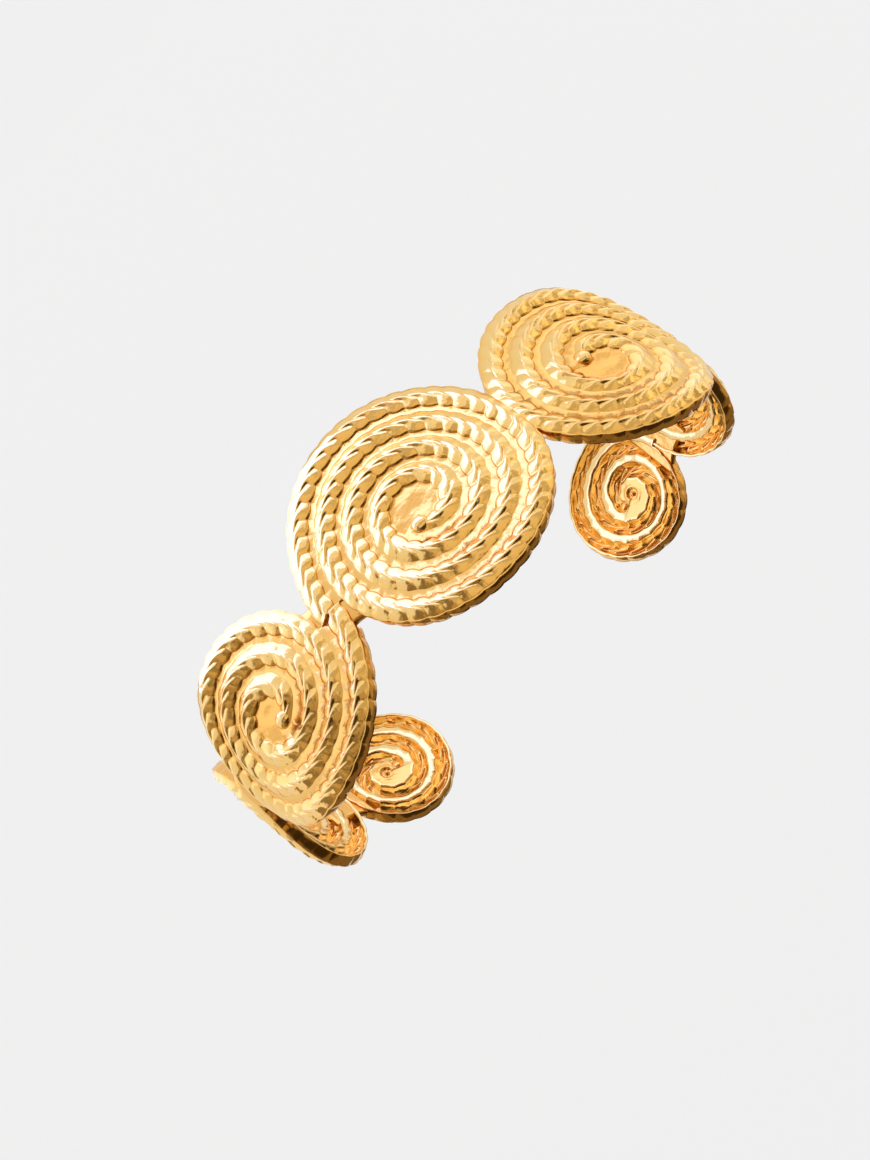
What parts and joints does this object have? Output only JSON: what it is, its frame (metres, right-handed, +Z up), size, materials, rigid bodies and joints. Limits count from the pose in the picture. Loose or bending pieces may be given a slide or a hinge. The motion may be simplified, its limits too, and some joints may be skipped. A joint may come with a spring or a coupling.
{
  "type": "upper arm cuff",
  "caption": "Open upper arm cuff of flat rope coils in a row, each spiral cast in relief and joined rim to rim round the arm.",
  "frame": {"origin": "middle of the cuff's outline seen from above, on the level plane that it rests on, which is near the middle of the arm", "axes": "+Z up along the arm's axis while the cuff lies on its side, -Y towards the large front coil, +Y towards the opening between the ends, +X to the right of the front coil seen from outside"},
  "size_m": [0.0862, 0.053, 0.036],
  "materials": {
    "gold": "polished yellow gold plating on cast brass"
  },
  "bodies": {
    "root": {"cuff": "gold"}
  },
  "joints": []
}
